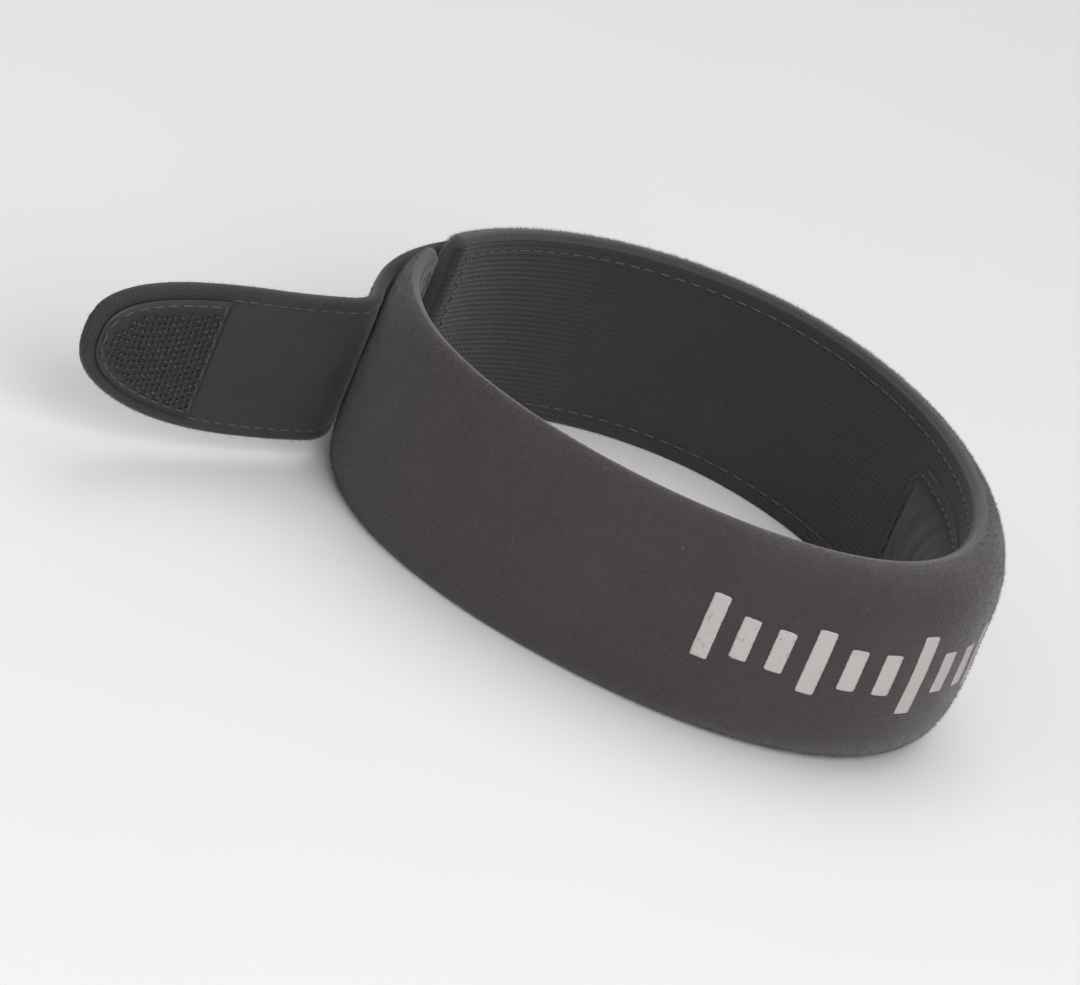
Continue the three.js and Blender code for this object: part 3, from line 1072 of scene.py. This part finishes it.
STITCH_SIDES = 6
STITCH_ROWS = 7
STITCH_SHARE = 0.74  # part of the pitch that shows as thread
STITCH_ROUND = 4  # how blunt a stitch is
STITCH_ENDS = 0.45  # thickness of its ends, as a share of its middle's
STITCH_RISE = 0.7  # how far its middle stands out, in thread radii
STITCH_SUNK = 0.7  # how deep its ends go in, in thread radii
RIM_SEAM_START = 0.003  # band's end to the rim seams' first stitch
RIM_SEAM_POINTS = 900
ZIGZAG_RISE = 0.0013  # height of one leg of the zigzag
ZIGZAG_NEAR = 0.0026  # its distance from the band's end
ZIGZAG_WIDTH = 0.0021
ZIGZAG_SHARE = 0.94
TAB_SEAM_DEPTH = SEAM_DIP + 0.00007  # below the tab's face, a little deeper than its dip
TAB_SEAM_BEFORE = 0.004  # the inner seams start so far before the bend
PATCH_SEAM_MARGIN = 0.0011
PATCH_SEAM_POINTS = 30
BOX_CORNER = 0.001
BOX_SIDE = 2  # box to the tab's edge, in the tab's seam insets
BOX_END = 0.6  # box to the band's end, in the same


def stitches(name, points, normals, count=None, shown=STITCH_SHARE):
    """Sewing thread along a line of points: rounded stitches of one pitch, sunk at their ends."""
    fine = details()
    radius = fine.thread / 2
    reach = reaches(points)
    count = count or round(reach[-1] / fine.stitch_pitch)
    pitch = reach[-1] / count
    spots = np.linspace(-0.5, 0.5, STITCH_ROWS)
    turns = np.linspace(0, 2 * math.pi, STITCH_SIDES, endpoint=False)[None, :, None]
    swell = np.sqrt(np.clip(1 - (2 * spots) ** STITCH_ROUND, 0.0, 1.0))
    thick = radius * (STITCH_ENDS + (1 - STITCH_ENDS) * swell)
    rise = radius * (STITCH_RISE * swell - STITCH_SUNK * (1 - swell))
    rings = []
    for k in range(count):
        at = (k + 0.5 + spots * shown) * pitch
        line = read_off(at, reach, points)
        up = unit(read_off(at, reach, normals))
        side = np.cross(unit(np.gradient(line, axis=0)), up)
        ring = np.cos(turns) * side[:, None] + np.sin(turns) * up[:, None]
        rings.append((line + up * rise[:, None])[:, None] + ring * thick[:, None, None])
    return small_tubes(name, np.stack(rings), thread_finish())


def leg_stitches(strap, name, along, outwards, height, *spacing):
    """Stitches on the leg side of the band."""
    _, _, out = strap.on_leg(along)
    return stitches(name, strap.leg_point(along, outwards, height), -strap.joined(out, 0.0), *spacing)


def tab_stitches(strap, name, line, outwards, side):
    """Stitches on the tab along a line of places and heights from its middle. side is 1 on the
    outer face and -1 on the leg side."""
    along, height = line.T
    _, _, out = strap.on_tab(along)
    points = strap.tab_point(along, outwards + tab_warp(strap, along), strap.middle + height)
    return stitches(name, points, side * strap.joined(out, 0.0))


def band_seams(strap):
    """The rims' seams, and the zigzag across each end of the lining from seam to seam."""
    width, inset = strap.size.band_width, strap.fine.seam_inset
    start, end = strap.band_start, strap.band_end
    along = np.linspace(start + RIM_SEAM_START, end - RIM_SEAM_START, RIM_SEAM_POINTS)
    made = []
    for name, height in (("rim_stitches_upper", width - inset), ("rim_stitches_lower", inset)):
        ripple = lining_ripple(strap, along, height)
        made.append(leg_stitches(strap, name, along, ripple, height))
    legs = round((width - 2 * inset) / ZIGZAG_RISE)
    height = np.linspace(inset, width - inset, legs + 1)
    into = ZIGZAG_NEAR + ZIGZAG_WIDTH * (np.arange(legs + 1) % 2)
    for name, along in (("end_stitches_1", start + into), ("end_stitches_2", end - into)):
        ripple = lining_ripple(strap, along, height)
        made.append(leg_stitches(strap, name, along, ripple, height, legs, ZIGZAG_SHARE))
    return made


def insert_seam(strap):
    """The seam round the insert's margin."""
    size, margin = strap.size, strap.fine.flange
    end, half = ((side + margin) / 2 for side in (size.tube_length, size.tube_width))
    along, height = rounded_loop(-end, end, -half, half, margin).T
    outwards = np.full(len(along), -COVER_LIFT - COVER_THICKNESS)
    return leg_stitches(strap, "insert_stitches", along, outwards, strap.middle + height)


def tab_seams(strap):
    """The seam round the tab on both faces, the patch's seam and the box where the tab is sewn on."""
    size, inset, edge = strap.size, strap.tab_inset, strap.patch_edge
    line = tongue_line(strap.tab_start + inset, strap.tab_end - inset, size.tab_width - 2 * inset, inset)
    made = [tab_stitches(strap, "tab_seam_outer", line, size.tab_thickness - TAB_SEAM_DEPTH, 1)]
    free = (line[:, 0] > strap.bend_start - TAB_SEAM_BEFORE) & (line[:, 0] < strap.patch_start)
    for name, side in (("tab_seam_inner_lower", -1), ("tab_seam_inner_upper", 1)):
        made.append(tab_stitches(strap, name, line[free & (line[:, 1] * side > 0)], TAB_SEAM_DEPTH, -1))
    margin = PATCH_SEAM_MARGIN
    start = strap.patch_start + margin
    ring = tongue_line(start, strap.patch_end - margin, size.patch_width - 2 * margin, edge + margin)
    back = np.linspace(ring[-1, 1], ring[0, 1], PATCH_SEAM_POINTS)
    ring = np.concatenate([ring, np.stack([0 * back + start, back], -1)])
    made.append(tab_stitches(strap, "patch_seam", ring, -strap.tape - strap.tape_gap, -1))
    half = size.tab_width / 2 - inset * BOX_SIDE
    box = rounded_loop(strap.tab_start + inset, strap.band_end - inset * BOX_END, -half, half, BOX_CORNER)
    made.append(tab_stitches(strap, "box_seam", box, size.tab_thickness, 1))
    return made


def build_stitches(strap):
    """All rows of sewing."""
    for piece in (*band_seams(strap), insert_seam(strap), *tab_seams(strap)):
        dress(piece, "band_fabric")


# Print

MARK_SHARES = (1.0, 0.52, 0.52, 0.8, 0.52, 0.52, 0.8)  # mark heights from the middle one to either side
PRINT_LIFT = 0.00002
PRINT_STEP = 0.00025
PRINT_ROUGH = 0.00009  # how far the print's edge wanders
PRINT_GRAIN = 1.7  # distance over which it wanders, in steps
ROUGH_POWERS = (3, 9)  # how near to its sides and to its ends the edge wanders
WAIST = 0.05  # how much narrower a mark's ends are
WAIST_POWER = 24
CORNER_CUT = 0.00015  # how much its corners are rounded off
CORNER_POWER = 6


def scale_marks():
    """The printed centring scale's marks, as along, width, foot and top."""
    fine = details()
    marks = []
    for step, share_of_height in enumerate(MARK_SHARES):
        half = share_of_height * fine.mark_height / 2
        for side in {-step, step}:
            marks.append((side * fine.mark_pitch, fine.mark_width,
                          fine.mark_middle - half, fine.mark_middle + half))
    return sorted(marks)


def mark_places(along, wide, low, high):
    """Places and heights over one mark, whose edges wander a little as ink on pile does."""
    columns = round(wide / PRINT_STEP)
    rows = round((high - low) / PRINT_STEP)
    u, v = np.meshgrid(np.linspace(-1, 1, columns), np.linspace(-1, 1, rows), indexing="ij")
    rough = PRINT_ROUGH * np.array([
        [noise.noise(Vector((a, b, along / PRINT_STEP))) for b in v[0] * rows / 2 / PRINT_GRAIN]
        for a in u[:, 0] * columns / 2 / PRINT_GRAIN])
    near_side = np.abs(u) ** ROUGH_POWERS[0]
    near_end = np.abs(v) ** ROUGH_POWERS[1]
    x = along + (wide / 2) * u * (1 - WAIST * v ** WAIST_POWER) + rough * near_side
    z = (low + high) / 2 + (high - low) / 2 * v + rough * near_end
    return x, z - CORNER_CUT * np.sign(v) * near_end * u ** CORNER_POWER


def build_print(strap):
    """The centring scale, a thin layer of ink that follows the band's outer face."""
    points, faces, start = [], [], 0
    for mark in scale_marks():
        x, z = mark_places(*mark)
        for lift in (PRINT_LIFT, strap.fine.print_thickness):
            points.append(strap.band_point(x, z / strap.middle - 1, lift).reshape(-1, 3))
        faces += (slab_faces(*x.shape) + start).tolist()
        start += 2 * x.size
    piece = new_object("centring_scale", np.concatenate(points), faces, [ink_finish()])
    return dress(piece, "band_fabric")


def inside_print(along, height):
    """Which places the print covers."""
    covered = np.zeros(len(along), bool)
    for middle, wide, low, high in scale_marks():
        covered |= (np.abs(along - middle) < wide / 2) & (height > low) & (height < high)
    return covered


# Nap

NAP_SEED = 7
NAP_FIELDS = 3
NAP_END = 0.001  # band's end to the first fibres
NAP_RIM = 0.9995  # how near the rims the fibres stand
NAP_STEP = 0.0004  # along the band, to find a fibre's directions
NAP_LEVEL_STEP = 0.01
NAP_CLEAR = 1.1  # height above the floor that stays bare, in fibre lengths
FIBRE_TILT = (0.2, 2.2)
FIBRE_LENGTHS = (0.35, 1.0)
FIBRE_ROOT = 0.00008  # how deep a fibre is set in
FIBRE_DEPTH = 0.8  # a fibre's depth, in widths
FIBRE_FACES = ((0, 2, 1), (0, 1, 3), (1, 2, 3), (2, 0, 3))
EDGE_FIBRES = (0.15, 0.85)  # where they stand on the tab's edge, as shares of its thickness


def fibre_mesh(name, roots, normals, ahead, longest, rng, material):
    """Short leaning fibres, each a closed three-sided spike."""
    fine = details()
    count = len(roots)
    lean = rng.normal(0, 1, (count, 3)) + fine.nap_lean * ahead
    lean -= normals * (lean * normals).sum(1, keepdims=True)
    lean = unit(lean)
    way = unit(normals + lean * rng.uniform(*FIBRE_TILT, (count, 1)))
    long = longest * rng.uniform(*FIBRE_LENGTHS, (count, 1))
    side = np.cross(normals, lean)
    wide = fine.nap_width
    base = roots - normals * FIBRE_ROOT
    points = np.stack([base + side * wide / 2, base - side * wide / 2,
                       base + lean * wide * FIBRE_DEPTH, roots + way * long], 1)
    first = np.arange(count)[:, None] * 4
    faces = np.concatenate([first + np.array(order) for order in FIBRE_FACES])
    return new_object(name, points, faces.tolist(), [material], smooth=False)


def band_nap(strap, name, start, end, rng, material):
    """Fibres on a stretch of the band's outer face."""
    fine = strap.fine
    along = rng.uniform(start, end, fine.band_fibres)
    level = np.sin(rng.uniform(-math.pi / 2, math.pi / 2, fine.band_fibres)) * NAP_RIM
    bare = inside_print(along, strap.middle * (1 + level))
    along, level = along[~bare], level[~bare]
    here = strap.band_point(along, level)
    ahead = unit(strap.band_point(along + NAP_STEP, level) - here)
    lower, upper = (strap.band_point(along, np.clip(level + step, -1, 1))
                    for step in (-NAP_LEVEL_STEP, NAP_LEVEL_STEP))
    normal = unit(np.cross(ahead, upper - lower))
    above = here[:, 2] > fine.nap_length * NAP_CLEAR
    piece = fibre_mesh(name, here[above], normal[above], ahead[above], fine.nap_length, rng, material)
    return dress(piece, "band_fabric")


def tab_nap(strap, rng):
    """Fibres on the tab's outer face and round its edge."""
    size, fine = strap.size, strap.fine
    along = rng.uniform(strap.tab_start, strap.tab_end - EDGE_ROUNDING, fine.tab_fibres)
    height = rng.uniform(-1, 1, fine.tab_fibres) * tab_flat_reach(strap, along)
    _, tangent, out = strap.on_tab(along)
    face = strap.tab_point(along, size.tab_thickness + tab_warp(strap, along), strap.middle + height)
    line = tongue_line(strap.tab_start, strap.tab_end, size.tab_width, 0.0)
    reach = reaches(line)
    at = rng.uniform(0, reach[-1], fine.tab_edge_fibres)
    along, height = read_off(at, reach, line).T
    way_along, way_up = read_off(at, reach, np.gradient(line, axis=0)).T
    _, edge_tangent, _ = strap.on_tab(along)
    across = rng.uniform(*EDGE_FIBRES, len(at)) * size.tab_thickness
    edge = strap.tab_point(along, across + tab_warp(strap, along), strap.middle + height)
    edge_normal = unit(strap.joined(edge_tangent * way_up[:, None], -way_along))
    roots = np.concatenate([face, edge])
    normals = np.concatenate([strap.joined(out, 0.0), edge_normal])
    ahead = strap.joined(np.concatenate([tangent, edge_tangent]), 0.0)
    tone = colours().tab
    # Up to nearly twice the tab's tone: painted sheen on its fibres.
    material = painted_sheen_fibre_finish("tab_fibres", toned(tone, 0.9), toned(tone, 1.9))
    piece = fibre_mesh("tab_nap", roots, normals, ahead, fine.tab_nap_length, rng, material)
    return dress(piece, "tab_fabric")


def build_nap(strap):
    """The fuzz that stands out of the pile, on the band and on the tab's outer face and edges."""
    hue = colours()
    # Lighter copies of the pile's two tones: painted sheen on its fibres.
    material = painted_sheen_fibre_finish("pile_fibres", toned(hue.pile_dark, 2.2), toned(hue.pile_light, 1.3))
    rng = np.random.default_rng(NAP_SEED)
    starts = np.linspace(strap.band_start + NAP_END, strap.band_end - NAP_END, NAP_FIELDS + 1)
    for field, (start, end) in enumerate(zip(starts, starts[1:]), 1):
        band_nap(strap, f"band_nap_{field}", start, end, rng, material)
    tab_nap(strap, rng)


# Stage

CAMERA_ROUNDS = 4  # of moving the camera until the strap is in the middle
CAMERA_NEAR = 0.01
FLOOR_SIZE = 8.0
LIGHT_TARGET = (0.0, 0.0, 0.02)
LIGHTS = (  # name, metres to the right, towards the camera and up, then size, power and colour
    ("key", 0.42, 0.96, 0.72, 0.8, 12.5, (1.0, 0.985, 0.97)),
    ("fill", -1.0, 0.6, 0.8, 1.2, 3.6, (1.0, 0.985, 0.985)),
    ("top", 0.1, -0.5, 1.3, 1.3, 11.0, (1.0, 1.0, 1.0)),
)
SKY_COLOUR = (0.93, 0.95, 1.0, 1.0)
SKY_STRENGTH = 0.42


def camera_axes(view):
    """Right, up and back of the camera, rolled as the picture is."""
    azimuth, elevation, roll = view.azimuth, view.elevation, view.roll
    back = np.array([math.sin(azimuth) * math.cos(elevation), -math.cos(azimuth) * math.cos(elevation),
                     math.sin(elevation)])
    right = np.array([math.cos(azimuth), math.sin(azimuth), 0.0])
    up = np.cross(back, right)
    turned_right = right * math.cos(roll) + up * math.sin(roll)
    turned_up = up * math.cos(roll) - right * math.sin(roll)
    return turned_right, turned_up, back


def build_camera():
    """A camera at the picture's angle, near enough for the strap to fill the frame."""
    view = bpy.context.scene.strap_view
    right, up, back = camera_axes(view)
    points = np.concatenate([[tuple(v.co) for v in part.data.vertices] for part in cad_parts.values()])
    eye = points.mean(0) + back * view.distance
    for _ in range(CAMERA_ROUNDS):
        seen = points - eye
        flat = np.stack([seen @ right, seen @ up], -1) / -(seen @ back)[:, None]
        middle = (flat.min(0) + flat.max(0)) / 2
        eye = eye + (right * middle[0] + up * middle[1]) * view.distance
    half = (flat.max(0) - flat.min(0))[0] / 2
    lens = bpy.data.cameras.new("camera")
    lens.sensor_fit = "HORIZONTAL"
    lens.lens = lens.sensor_width / 2 / (half / view.fill)
    lens.clip_start = CAMERA_NEAR
    camera = bpy.data.objects.new("camera", lens)
    axes = Matrix([[*row] for row in np.stack([right, up, back], 1)])
    camera.matrix_world = Matrix.Translation(Vector(eye)) @ axes.to_4x4()
    bpy.context.scene.collection.objects.link(camera)
    bpy.context.scene.camera = camera
    return right, back


def area_light(name, place, size, power, tone):
    """A square soft light aimed at the strap."""
    light = bpy.data.lights.new(name, "AREA")
    light.size = size
    light.energy = power
    light.color = tone
    lamp = bpy.data.objects.new(name, light)
    lamp.location = place
    lamp.rotation_euler = (Vector(LIGHT_TARGET) - Vector(place)).to_track_quat("-Z", "Y").to_euler()
    bpy.context.scene.collection.objects.link(lamp)


def build_stage():
    """Pale floor, soft studio light and the camera."""
    corners = [(x * FLOOR_SIZE, y * FLOOR_SIZE, 0.0) for x, y in ((-1, -1), (1, -1), (1, 1), (-1, 1))]
    floor = new_object("floor", corners, [(0, 1, 2, 3)], [floor_finish()], smooth=False)
    right, toward = (np.array([*way[:2], 0.0]) / np.hypot(way[0], way[1]) for way in build_camera())
    for name, aside, near, height, size, power, tone in LIGHTS:
        place = right * aside + toward * near + np.array([0.0, 0.0, height])
        area_light(name, place, size, power, tone)
    world = bpy.data.worlds.new("studio")
    world.use_nodes = True
    sky = world.node_tree.nodes["Background"].inputs
    sky["Color"].default_value = SKY_COLOUR
    sky["Strength"].default_value = SKY_STRENGTH
    bpy.context.scene.world = world
    bpy.context.scene.view_settings.view_transform = "Standard"


# Operators

class STRAP_OT_stage(bpy.types.Operator):
    """Makes the floor, the lights and the camera."""
    bl_idname = "strap.stage"
    bl_label = "Stage"

    def execute(self, context):
        build_stage()
        return {"FINISHED"}


class STRAP_OT_band(bpy.types.Operator):
    """Makes the padded band."""
    bl_idname = "strap.band"
    bl_label = "Padded band"

    def execute(self, context):
        band = build_band(Strap())
        return {"FINISHED"}


class STRAP_OT_insert(bpy.types.Operator):
    """Makes the soft tube over the tendon, under its cover."""
    bl_idname = "strap.insert"
    bl_label = "Tubular insert"

    def execute(self, context):
        cover = build_insert(Strap())
        return {"FINISHED"}


class STRAP_OT_tab(bpy.types.Operator):
    """Makes the flat closure tab."""
    bl_idname = "strap.tab"
    bl_label = "Closure tab"

    def execute(self, context):
        strap = Strap()
        tab = build_tab(strap)
        return {"FINISHED"}


class STRAP_OT_hooks(bpy.types.Operator):
    """Makes the hook tape and its hooks."""
    bl_idname = "strap.hooks"
    bl_label = "Hook patch"

    def execute(self, context):
        strap = Strap()
        build_hook_tape(strap)
        build_hooks(strap)
        return {"FINISHED"}


class STRAP_OT_stitches(bpy.types.Operator):
    """Sews all seams."""
    bl_idname = "strap.stitches"
    bl_label = "Stitches"

    def execute(self, context):
        build_stitches(Strap())
        return {"FINISHED"}


class STRAP_OT_print(bpy.types.Operator):
    """Prints the centring scale on the front."""
    bl_idname = "strap.print"
    bl_label = "Centring scale"

    def execute(self, context):
        build_print(Strap())
        return {"FINISHED"}


class STRAP_OT_nap(bpy.types.Operator):
    """Raises the fuzz of the pile."""
    bl_idname = "strap.nap"
    bl_label = "Nap"

    def execute(self, context):
        build_nap(Strap())
        return {"FINISHED"}


STEPS = (STRAP_OT_stage, STRAP_OT_band, STRAP_OT_insert, STRAP_OT_tab, STRAP_OT_hooks,
         STRAP_OT_stitches, STRAP_OT_print, STRAP_OT_nap)
GROUPS = {
    "strap_sizes": StrapSizes,
    "strap_details": StrapDetails,
    "strap_colours": StrapColours,
    "strap_view": StrapView,
}


class STRAP_PT_panel(bpy.types.Panel):
    """The strap's steps, sizes and colours."""
    bl_idname = "STRAP_PT_panel"
    bl_label = "Patella strap"
    bl_space_type = "VIEW_3D"
    bl_region_type = "UI"
    bl_category = "Strap"

    def draw(self, context):
        for step in STEPS:
            self.layout.operator(step.bl_idname, text=step.bl_label)
        for name, group in GROUPS.items():
            box = self.layout.box()
            for key in group.__annotations__:
                box.prop(getattr(context.scene, name), key)


CLASSES = (*GROUPS.values(), *STEPS, STRAP_PT_panel)


def register():
    """Registers the classes and hangs the property groups on the scene."""
    for each in CLASSES:
        bpy.utils.register_class(each)
    for name, group in GROUPS.items():
        setattr(bpy.types.Scene, name, PointerProperty(type=group))


def unregister():
    """Takes everything away again."""
    for name in GROUPS:
        delattr(bpy.types.Scene, name)
    for each in reversed(CLASSES):
        bpy.utils.unregister_class(each)


def main():
    """Makes the whole picture, step by step."""
    register()
    for step in STEPS:
        group, name = step.bl_idname.split(".")
        getattr(getattr(bpy.ops, group), name)()


if __name__ == "__main__":
    main()
